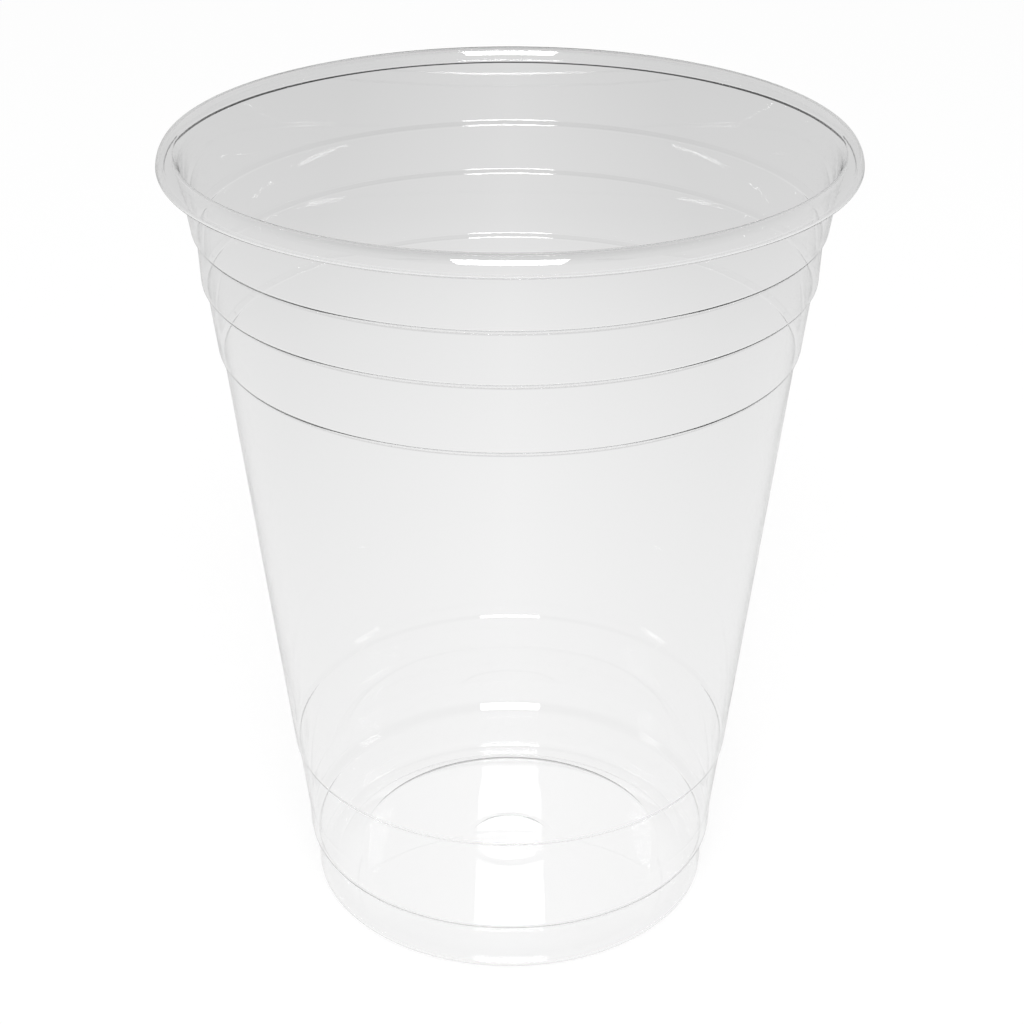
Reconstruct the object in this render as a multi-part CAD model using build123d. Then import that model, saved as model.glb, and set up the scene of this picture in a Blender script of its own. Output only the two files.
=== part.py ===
"""A clear disposable cold cup, thermoformed from one sheet of plastic.

The whole cup is one skin of even thickness: a floor pushed up above a narrow standing ring, a foot, a
tapered wall with a low stacking ring and three rings near the top, and a lip flared out and rolled over.
The frame's origin is the middle of the surface that the cup stands on, with +Z up through the mouth.
Sizes are in millimetres. Radii are measured to the outer face of the wall.
"""

import os

from build123d import *

# Overall sizes
rim_diameter = 98.0  # over the rolled lip, the size that lids are made to
cup_height = 120.6
foot_diameter = 61.8
wall = 0.3

# Rolled lip, from where the wall flares out, over the top and down to the hem: how far each corner lies
# inside the edge of the lip and below its top, and its rounding. The last corner is the hem's loose end.
lip_insets = (2.7, 2.05, 1.0, 0.0, 0.0)
lip_drops = (1.25, 0.0, 0.0, 1.2, 2.8)
lip_rounds = (4.0, 0.75, 1.2, 2.6, 0.45)
hem_inset = 1.0
hem_drop = 2.45

# Rings near the top, from the highest down: how far the middle of each lies below the top of the lip, how
# far the wall just above it lies inside the edge of the lip, and how far the wall steps in below it
ring_drops = (11.45, 19.15, 29.35)
ring_insets = (4.2, 5.2, 7.0)
ring_steps = (0.7, 0.65, 0.6)
ring_rise = 0.65
ring_round = 0.45

# Stacking ring low on the wall, measured from the standing surface and from the outside of the foot
stack_height = 24.9
stack_outset = 3.05
stack_rise = 0.5
stack_step = 0.36
stack_round = 0.5

# Upright band above the foot, and the shoulder between the two
band_top = 12.8
band_bottom = 8.7
band_outset = 1.15
band_lean = 0.15
band_round = 2.5
shoulder_bottom = 7.4
shoulder_round = 1.0
foot_lean = 0.1

# Foot, standing ring and pushed-up floor
heel_round = 1.1
ring_face_inset = 2.9  # from the outside of the foot to where the floor starts to rise
ring_face_round = 0.6
riser_run = 4.0  # how far the floor comes in while it rises
floor_lift = 2.2
floor_round = 1.5

# Plain raised disc in the middle of the floor
disc_diameter = 15.0
disc_rise = 0.3
disc_slope = 1.2
disc_round = 0.8


def step_corners(radius, height, rise, step):
    """The two corners of a small outward step, from the lower one up, on the outer face of the wall."""
    return [(radius - step, height - rise / 2), (radius, height + rise / 2)]


def wall_corners():
    """Corners of the wall's outer face from the foot up to the highest ring, each with its rounding."""
    foot = foot_diameter / 2
    rim = rim_diameter / 2
    corners = [
        ((foot + foot_lean, shoulder_bottom), shoulder_round),
        ((foot + band_outset, band_bottom), shoulder_round),
        ((foot + band_outset + band_lean, band_top), band_round),
    ]
    low_ring = step_corners(foot + stack_outset, stack_height, stack_rise, stack_step)
    corners += [(corner, stack_round) for corner in low_ring]
    for drop, inset, step in reversed(list(zip(ring_drops, ring_insets, ring_steps))):
        ring = step_corners(rim - inset, cup_height - drop, ring_rise, step)
        corners += [(corner, ring_round) for corner in ring]
    return corners


def floor_corners():
    """Corners of the floor's middle surface, from the axis out to the heel, each with its rounding."""
    half = wall / 2
    foot = foot_diameter / 2
    disc = disc_diameter / 2
    panel = floor_lift - half
    return [
        ((0, panel + disc_rise), None),
        ((disc - disc_slope, panel + disc_rise), disc_round),
        ((disc, panel), disc_round),
        ((foot - ring_face_inset - riser_run, panel), floor_round),
        ((foot - ring_face_inset, half), ring_face_round),
        ((foot - half, half), heel_round),
    ]


def lip_place(inset, drop):
    """A place on the middle of the lip's skin, from how far it lies in from its edge and below its top."""
    return (rim_diameter / 2 - wall / 2 - inset, cup_height - wall / 2 - drop)


def middle_line():
    """The middle of the skin as one smooth line, from the axis at the floor out to the end of the lip."""
    corners = floor_corners()
    corners += [((radius - wall / 2, height), rounding) for (radius, height), rounding in wall_corners()]
    corners += [
        (lip_place(inset, drop), rounding)
        for inset, drop, rounding in zip(lip_insets, lip_drops, lip_rounds)
    ]
    places = [place for place, _ in corners] + [lip_place(hem_inset, hem_drop)]
    roundings = [rounding for _, rounding in corners[1:]]
    run = FilletPolyline(*[Vector(radius, 0, height) for radius, height in places], radius=roundings)
    return run.edges().sort_by(run)


def shifted(edge, place, distance):
    """The point beside a place on an edge, at a distance to the left of the way that the line runs."""
    tangent = edge.tangent_at(place)
    return edge.position_at(place) + Vector(-tangent.Z, 0, tangent.X) * distance


def parallel(edge, distance):
    """An edge beside a straight or round one, at a distance to its left."""
    start, middle, end = (shifted(edge, place, distance) for place in (0, 0.5, 1))
    if edge.geom_type == GeomType.LINE:
        return Line(start, end)
    return ThreePointArc(start, middle, end)


def cup():
    """The skin's section, turned once round the axis."""
    line = middle_line()
    left = [parallel(edge, wall / 2) for edge in line]
    right = [parallel(edge, -wall / 2) for edge in line]
    on_axis = Line(right[0] @ 0, left[0] @ 0)
    lip_end = Line(left[-1] @ 1, right[-1] @ 1)
    section = make_face(Curve() + left + right + [on_axis, lip_end])
    return revolve(section, Axis.Z)


os.makedirs("parts", exist_ok=True)
export_step(cup(), "parts/cup.step")
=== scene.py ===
"""The looks of a clear disposable cold cup: one thin thermoformed skin with a rolled lip.

The section of the skin is drawn as a chain of edges, its corners are rounded, it is spun round the cup's
axis and then given its thickness. Sizes are in metres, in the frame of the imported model, with the origin
in the middle of the surface that the cup stands on.
"""

import math

import bpy
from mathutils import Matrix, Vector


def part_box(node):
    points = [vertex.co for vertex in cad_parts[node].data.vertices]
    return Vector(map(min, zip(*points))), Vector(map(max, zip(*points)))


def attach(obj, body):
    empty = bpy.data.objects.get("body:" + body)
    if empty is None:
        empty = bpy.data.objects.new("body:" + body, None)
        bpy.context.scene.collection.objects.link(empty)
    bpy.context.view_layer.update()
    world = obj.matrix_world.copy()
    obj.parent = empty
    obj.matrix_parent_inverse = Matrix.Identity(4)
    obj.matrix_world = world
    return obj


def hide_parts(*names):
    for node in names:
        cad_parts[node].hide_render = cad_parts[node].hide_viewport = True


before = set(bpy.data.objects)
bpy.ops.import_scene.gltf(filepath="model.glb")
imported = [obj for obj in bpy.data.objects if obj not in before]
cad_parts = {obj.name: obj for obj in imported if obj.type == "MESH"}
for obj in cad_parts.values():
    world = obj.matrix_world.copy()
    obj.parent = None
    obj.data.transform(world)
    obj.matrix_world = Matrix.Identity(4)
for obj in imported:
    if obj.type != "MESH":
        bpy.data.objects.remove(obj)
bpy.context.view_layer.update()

MM = 0.001
_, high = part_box("cup")
RIM = high.x
TOP = high.z

# The skin
WALL = 0.3 * MM
FOOT = 30.9 * MM
TURNS = 224

# The corners of the section below are in millimetres, and each row of a table ends with its rounding.
# Disc on the floor panel: radius, height above the panel, rounding
FLOOR_LIFT = 2.2
DISC_RISE = 0.3
DISC = ((6.3, DISC_RISE, 0.8), (7.5, 0, 0.8))

# Edges of the raised panel and of the standing ring, inwards from the outside of the foot
PANEL_EDGE, PANEL_ROUND = 6.9, 1.5
RING_EDGE, RING_EDGE_ROUND = 2.9, 0.6
HEEL_ROUND = 1.1

# Foot, shoulder and band: outset from the foot, height, rounding
BASE = ((0.1, 7.4, 1.0), (1.15, 8.7, 1.0), (1.3, 12.8, 2.5))

# Low stacking ring: outset from the foot, height, rise, step and rounding
STACK_OUTSET, STACK_HEIGHT, STACK_RISE, STACK_STEP, STACK_ROUND = 3.05, 24.9, 0.5, 0.36, 0.5

# Rings near the top, from the highest down: drop below the lip, inset from the lip's edge, and step
RINGS = ((11.45, 4.2, 0.7), (19.15, 5.2, 0.65), (29.35, 7.0, 0.6))
RING_RISE = 0.65
RING_ROUND = 0.45

# Rolled lip, from where the wall flares out, over the top and down to the hem: inset from the lip's edge,
# drop below its top, and rounding
LIP = ((2.7, 1.25, 4.0), (2.05, 0, 0.75), (1.0, 0, 1.2), (0, 1.2, 2.6), (0, 2.8, 0.45))
LIP_END = (1.0, 2.45)

# Painted pool of light: the glow that the table sends into the plastic, against the distance from the cup's
# middle in half metres
POOL = (
    (0.0, 0.95), (0.05, 0.95), (0.068, 0.855), (0.2, 0.835), (0.45, 0.79), (0.64, 0.69), (0.9, 0.655),
)
# strength of the painted pool of light through the plastic, then of its painted reflection
POOL_LEVEL = 1.075
POOL_LEVEL_REFLECTED = 1.05
SIDE_SHADE_FALL = 1.8  # painted shade: how fast the painted pool of light darkens to the left and right, per metre
# the deepest painted shade at the left and right
SIDE_SHADE_LIMIT = 0.1
SHADOW_SHARE = 0.14  # the part of the table's own white that takes the cup's shadow

# Light of the room in reflections, against the sine of the elevation: darker overhead
DOME = ((0.0, 0.85), (0.45, 0.8), (0.75, 0.55), (0.92, 0.1))
ROOM_LEVEL = 0.85

# The one large soft light
KEY_ELEVATION = math.radians(45)
KEY_DISTANCE = 1.1
KEY_TARGET = 0.06
KEY_SIZE = (0.56, 0.46)
KEY_RADIANCE = 12

# Camera
CAMERA_PLACE = (0, -0.2940, 0.2109)
CAMERA_TILT = math.radians(63.13)
LENS = 76.64
LENS_SHIFT = 0.002


# ---------------------------------------------------------------- modelling helpers
def pick(piece, wanted):
    """Selects the vertices whose place passes a test, and leaves the piece in edit mode."""
    if piece.mode == "EDIT":
        bpy.ops.object.mode_set(mode="OBJECT")
    bpy.ops.object.select_all(action="DESELECT")
    piece.select_set(True)
    bpy.context.view_layer.objects.active = piece
    bpy.ops.object.mode_set(mode="EDIT")
    bpy.ops.mesh.select_mode(type="VERT")
    bpy.ops.mesh.select_all(action="DESELECT")
    bpy.ops.object.mode_set(mode="OBJECT")
    for vertex in piece.data.vertices:
        vertex.select = wanted(vertex.co)
    bpy.ops.object.mode_set(mode="EDIT")


def near(place):
    radius, height = place
    return lambda co: math.hypot(co.x - radius, co.z - height) < 0.02 * MM


# ---------------------------------------------------------------- the section of the skin
def step_corners(radius, height, rise, step):
    """The two corners of a small outward step, from the lower one up, on the outer face of the wall."""
    return [(radius - step, height - rise / 2), (radius, height + rise / 2)]


def lip_place(inset, drop):
    return RIM - WALL / 2 - inset * MM, TOP - WALL / 2 - drop * MM


def section_corners():
    """Corners of the skin's middle line from the axis out to the lip's hem, each with its rounding."""
    half = WALL / 2
    panel = FLOOR_LIFT * MM - half
    corners = [((radius * MM, panel + rise * MM), rounding * MM) for radius, rise, rounding in DISC]
    corners += [
        ((FOOT - PANEL_EDGE * MM, panel), PANEL_ROUND * MM),
        ((FOOT - RING_EDGE * MM, half), RING_EDGE_ROUND * MM),
        ((FOOT - half, half), HEEL_ROUND * MM),
    ]
    wall = [((FOOT + outset * MM, height * MM), rounding * MM) for outset, height, rounding in BASE]
    stack = step_corners(
        FOOT + STACK_OUTSET * MM, STACK_HEIGHT * MM, STACK_RISE * MM, STACK_STEP * MM,
    )
    wall += [(corner, STACK_ROUND * MM) for corner in stack]
    for drop, inset, step in reversed(RINGS):
        ring = step_corners(RIM - inset * MM, TOP - drop * MM, RING_RISE * MM, step * MM)
        wall += [(corner, RING_ROUND * MM) for corner in ring]
    corners += [((radius - half, height), rounding) for (radius, height), rounding in wall]
    corners += [(lip_place(inset, drop), rounding * MM) for inset, drop, rounding in LIP]
    return panel + DISC_RISE * MM, corners


def add_cup():
    middle, corners = section_corners()
    places = [(0, middle)] + [place for place, _ in corners] + [lip_place(*LIP_END)]

    bpy.ops.object.select_all(action="DESELECT")
    bpy.ops.mesh.primitive_plane_add(size=MM, location=(0, 0, 0))
    cup = bpy.context.object
    cup.name = "clear_cup"
    bpy.ops.object.mode_set(mode="EDIT")
    bpy.ops.mesh.select_all(action="SELECT")
    bpy.ops.mesh.merge(type="CENTER")
    bpy.ops.transform.translate(value=(0, 0, middle))
    for here, there in zip(places, places[1:]):
        step = (there[0] - here[0], 0, there[1] - here[1])
        bpy.ops.mesh.extrude_region_move(TRANSFORM_OT_translate={"value": step})

    # round each corner
    for i, (place, rounding) in enumerate(corners, start=1):
        before, after = places[i - 1], places[i + 1]
        heading_in = math.atan2(place[1] - before[1], place[0] - before[0])
        heading_out = math.atan2(after[1] - place[1], after[0] - place[0])
        turn = abs((heading_out - heading_in + math.pi) % math.tau - math.pi)
        reach = rounding * math.tan(turn / 2)
        pick(cup, near(place))
        bpy.ops.mesh.bevel(
            affect="VERTICES", offset_type="OFFSET", offset=reach, profile=0.5,
            segments=max(3, math.ceil(math.degrees(turn) / 8)),
        )

    # spin the section round the axis
    bpy.ops.mesh.select_all(action="SELECT")
    bpy.ops.mesh.spin(steps=TURNS, angle=math.tau, center=(0, 0, 0), axis=(0, 0, 1))
    bpy.ops.mesh.select_all(action="SELECT")
    bpy.ops.mesh.remove_doubles(threshold=0.004 * MM)
    bpy.ops.mesh.normals_make_consistent(inside=False)
    bpy.ops.object.mode_set(mode="OBJECT")

    # give it the sheet's thickness, half to each side
    skin = cup.modifiers.new("thickness", "SOLIDIFY")
    skin.thickness = WALL
    skin.offset = 0
    skin.use_even_offset = True
    bpy.ops.object.modifier_apply(modifier=skin.name)
    bpy.ops.object.shade_smooth_by_angle(angle=math.radians(50))
    shading = cup.modifiers.new("shading", "WEIGHTED_NORMAL")
    shading.keep_sharp = True
    bpy.ops.object.modifier_apply(modifier=shading.name)
    return cup


# ---------------------------------------------------------------- shader helpers
class Value:
    """A shader socket that adds Math nodes when it is used in an expression."""

    def __init__(self, tree, socket):
        self.tree = tree
        self.socket = socket

    def math(self, operation, *others):
        node = self.tree.nodes.new("ShaderNodeMath")
        node.operation = operation
        for entry, value in zip(node.inputs, others):
            if isinstance(value, Value):
                self.tree.links.new(value.socket, entry)
            else:
                entry.default_value = value
        return Value(self.tree, node.outputs[0])

    def __mul__(self, other):
        return self.math("MULTIPLY", self, other)

    __rmul__ = __mul__

    def __sub__(self, other):
        return self.math("SUBTRACT", self, other)

    def __rsub__(self, other):
        return self.math("SUBTRACT", other, self)


class Shader:
    """Adds nodes to a material or a world: the type, its settings, a ramp's stops, then values and links."""

    def __init__(self, tree):
        self.tree = tree
        tree.nodes.clear()

    def add(self, kind, settings=None, inputs=None, ramp=None):
        node = self.tree.nodes.new(kind)
        for name, value in (settings or {}).items():
            setattr(node, name, value)
        if ramp:
            while len(node.color_ramp.elements) < len(ramp):
                node.color_ramp.elements.new(1.0)
            for element, (place, shade) in zip(node.color_ramp.elements, ramp):
                element.position = place
                element.color = (shade, shade, shade, 1)
        for name, value in (inputs or {}).items():
            if isinstance(value, Value):
                self.tree.links.new(value.socket, node.inputs[name])
            else:
                node.inputs[name].default_value = value
        return node

    def out(self, node, name=0):
        return Value(self.tree, node.outputs[name])

    def seen_and_reflected(self):
        """Whether a ray comes straight from the camera, and whether it was reflected on its way here."""
        rays = self.add("ShaderNodeLightPath")
        bounced = self.out(rays, "Glossy Depth")
        return self.out(rays, "Is Camera Ray"), bounced.math("GREATER_THAN", bounced, 0.5)


def new_material(name):
    material = bpy.data.materials.new(name)
    material.use_nodes = True
    return material, Shader(material.node_tree)


# ---------------------------------------------------------------- materials
def clear_plastic():
    """Clear glossy sheet with the faint waves that forming leaves in it."""
    material, s = new_material("clear_plastic")
    place = s.out(s.add("ShaderNodeTexCoord"), "Object")
    waves = s.out(s.add("ShaderNodeTexNoise", inputs={"Vector": place, "Scale": 90.0, "Detail": 1.0}), "Fac")
    bump = s.out(s.add("ShaderNodeBump", inputs={"Height": waves, "Strength": 0.2, "Distance": 0.05 * MM}))
    plastic = s.add("ShaderNodeBsdfPrincipled", inputs={
        "Base Color": (1.0, 1.0, 1.0, 1),
        "Roughness": 0.015,
        "IOR": 1.55,
        "Transmission Weight": 1.0,
        "Normal": bump,
    })
    s.add("ShaderNodeOutputMaterial", inputs={"Surface": s.out(plastic)})
    return material


def table_top():
    """A pale table: white where it is looked at, and a painted pool of light, a glow that fades outwards in
    the plastic.
    """
    material, s = new_material("table_top")
    place = s.out(s.add("ShaderNodeTexCoord"), "Object")
    radius = s.out(s.add("ShaderNodeVectorMath", {"operation": "LENGTH"}, {0: place}), "Value")
    # painted pool of light: a glow, brightest under the cup and fading outwards
    pool = s.out(s.add("ShaderNodeValToRGB", inputs={"Fac": radius * 2.0}, ramp=POOL), "Color")
    seen, reflected = s.seen_and_reflected()

    # through the plastic: the painted pool of light, with painted shade that makes it a little darker to the
    # left and right
    across = s.out(s.add("ShaderNodeSeparateXYZ", inputs={0: place}), "X")
    aside = across.math("ABSOLUTE", across)
    level = POOL_LEVEL - aside.math("MINIMUM", aside * SIDE_SHADE_FALL, SIDE_SHADE_LIMIT)
    glow = s.add("ShaderNodeEmission", inputs={"Color": pool, "Strength": level})
    # painted reflection: the same painted pool of light, for rays reflected on their way here
    reflected_painted_glow = s.add("ShaderNodeEmission", inputs={"Color": pool, "Strength": POOL_LEVEL_REFLECTED})
    inside = s.add("ShaderNodeMixShader", inputs={0: reflected, 1: s.out(glow), 2: s.out(reflected_painted_glow)})

    # looked at directly: white, with a share of paint that takes the cup's shadow
    white = s.add("ShaderNodeEmission", inputs={"Strength": 1.0})
    paint = s.add("ShaderNodeBsdfDiffuse", inputs={"Color": (1.0, 1.0, 1.0, 1)})
    cover = s.add("ShaderNodeMixShader", inputs={0: SHADOW_SHARE, 1: s.out(white), 2: s.out(paint)})
    shown = s.add("ShaderNodeMixShader", inputs={0: seen, 1: s.out(inside), 2: s.out(cover)})
    s.add("ShaderNodeOutputMaterial", inputs={"Surface": s.out(shown)})
    return material


def light_room():
    """A room that is white to the camera, pale through the plastic, and darker overhead in reflections."""
    world = bpy.data.worlds.new("room")
    bpy.context.scene.world = world
    world.use_nodes = True
    s = Shader(world.node_tree)
    seen, reflected = s.seen_and_reflected()
    way = s.out(s.add("ShaderNodeTexCoord"), "Generated")
    height = s.out(s.add("ShaderNodeSeparateXYZ", inputs={0: way}), "Z")
    dome = s.out(s.add("ShaderNodeValToRGB", inputs={"Fac": height}, ramp=DOME), "Color")
    mix = {"data_type": "FLOAT"}
    level = s.out(s.add("ShaderNodeMix", mix, {0: reflected, 2: ROOM_LEVEL, 3: dome}), 0)
    level = s.out(s.add("ShaderNodeMix", mix, {0: seen, 2: level, 3: 1.0}), 0)
    sky = s.add("ShaderNodeBackground", inputs={"Strength": level})
    s.add("ShaderNodeOutputWorld", inputs={"Surface": s.out(sky)})


# ---------------------------------------------------------------- the stage
def add_table():
    bpy.ops.object.select_all(action="DESELECT")
    bpy.ops.mesh.primitive_circle_add(
        vertices=96, radius=6.0, fill_type="NGON", location=(0, 0, -0.05 * MM),
    )
    table = bpy.context.object
    table.name = "table"
    table.data.materials.append(table_top())


def add_key():
    """The one large soft light, high in front of the cup and aimed at its middle."""
    lamp = bpy.data.lights.new("key", "AREA")
    lamp.shape = "RECTANGLE"
    lamp.size, lamp.size_y = KEY_SIZE
    lamp.energy = KEY_RADIANCE * math.pi * lamp.size * lamp.size_y
    key = bpy.data.objects.new("key", lamp)
    bpy.context.scene.collection.objects.link(key)
    away = KEY_DISTANCE * math.cos(KEY_ELEVATION)
    key.location = (0, -away, KEY_DISTANCE * math.sin(KEY_ELEVATION) + KEY_TARGET)
    key.rotation_euler = (math.radians(90) - KEY_ELEVATION, 0, 0)


def add_camera():
    lens = bpy.data.cameras.new("camera")
    lens.sensor_width = 36
    lens.lens = LENS
    lens.shift_x = LENS_SHIFT
    camera = bpy.data.objects.new("camera", lens)
    bpy.context.scene.collection.objects.link(camera)
    camera.location = CAMERA_PLACE
    camera.rotation_euler = (CAMERA_TILT, 0, 0)
    bpy.context.scene.camera = camera


cup = add_cup()
cup.data.materials.append(clear_plastic())
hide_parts("cup")
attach(cup, "root")
add_table()
light_room()
add_key()
add_camera()
bpy.context.scene.view_settings.view_transform = "Standard"
